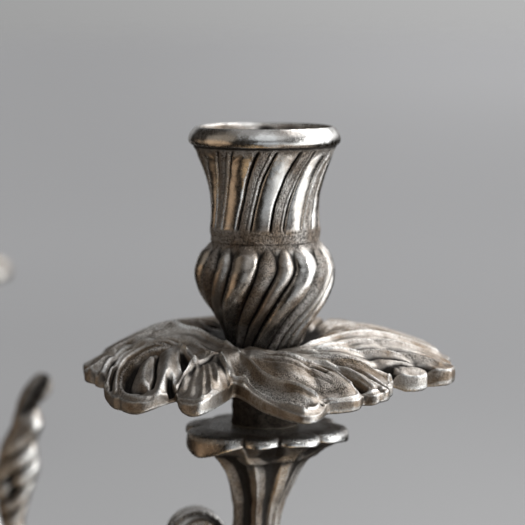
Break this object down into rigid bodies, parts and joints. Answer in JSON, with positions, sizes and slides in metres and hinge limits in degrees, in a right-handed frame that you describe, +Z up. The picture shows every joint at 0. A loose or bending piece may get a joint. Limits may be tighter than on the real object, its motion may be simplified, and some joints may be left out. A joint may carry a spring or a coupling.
{
  "type": "candlestick",
  "caption": "Rococo two-light table candlestick in silver-plated cast brass: twisted candle cups on leafy drip pans, scrolled arms, a leaf finial, and a fluted stem on a domed foot.",
  "frame": {"origin": "centre of the foot's resting plane", "axes": "+Z up along the stem, +X along the right arm"},
  "size_m": [0.342, 0.14, 0.3363],
  "materials": {
    "silver_plate": "aged silver plate on cast brass, polished ridges and dark oxidised hollows",
    "rough_cast_silver": "as cast, sandy and dark",
    "steel": "plain machined",
    "felt": "green baize"
  },
  "bodies": {
    "candlestick": {"base": "silver_plate", "base_felt": "felt", "base_washer": "steel", "base_nut": "steel", "tie_rod": "steel", "stem_spool": "silver_plate", "stem_knop": "silver_plate", "stem_baluster": "silver_plate", "stem_socket": "silver_plate"},
    "branch": {"branch_plug": "silver_plate", "branch_hub": "silver_plate", "arm_screws": "steel", "right_arm": "silver_plate", "left_arm": "silver_plate", "centre_finial": "silver_plate"},
    "right_sconce": {"right_candle_cup": "silver_plate", "right_drip_pan": "silver_plate", "right_collar": "rough_cast_silver", "right_sconce_screw": "steel"},
    "left_sconce": {"left_candle_cup": "silver_plate", "left_drip_pan": "silver_plate", "left_collar": "rough_cast_silver", "left_sconce_screw": "steel"}
  },
  "joints": [
    {"name": "branch_turn", "type": "hinge", "parent": "candlestick", "child": "branch", "pos_m": [0, 0, 0.166], "axis": [0, 0, 1], "continuous": true},
    {"name": "right_sconce_lift", "type": "slide", "parent": "branch", "child": "right_sconce", "axis": [0, 0, 1], "range_m": [0, 0.03]},
    {"name": "left_sconce_lift", "type": "slide", "parent": "branch", "child": "left_sconce", "axis": [0, 0, 1], "range_m": [0, 0.03]}
  ]
}
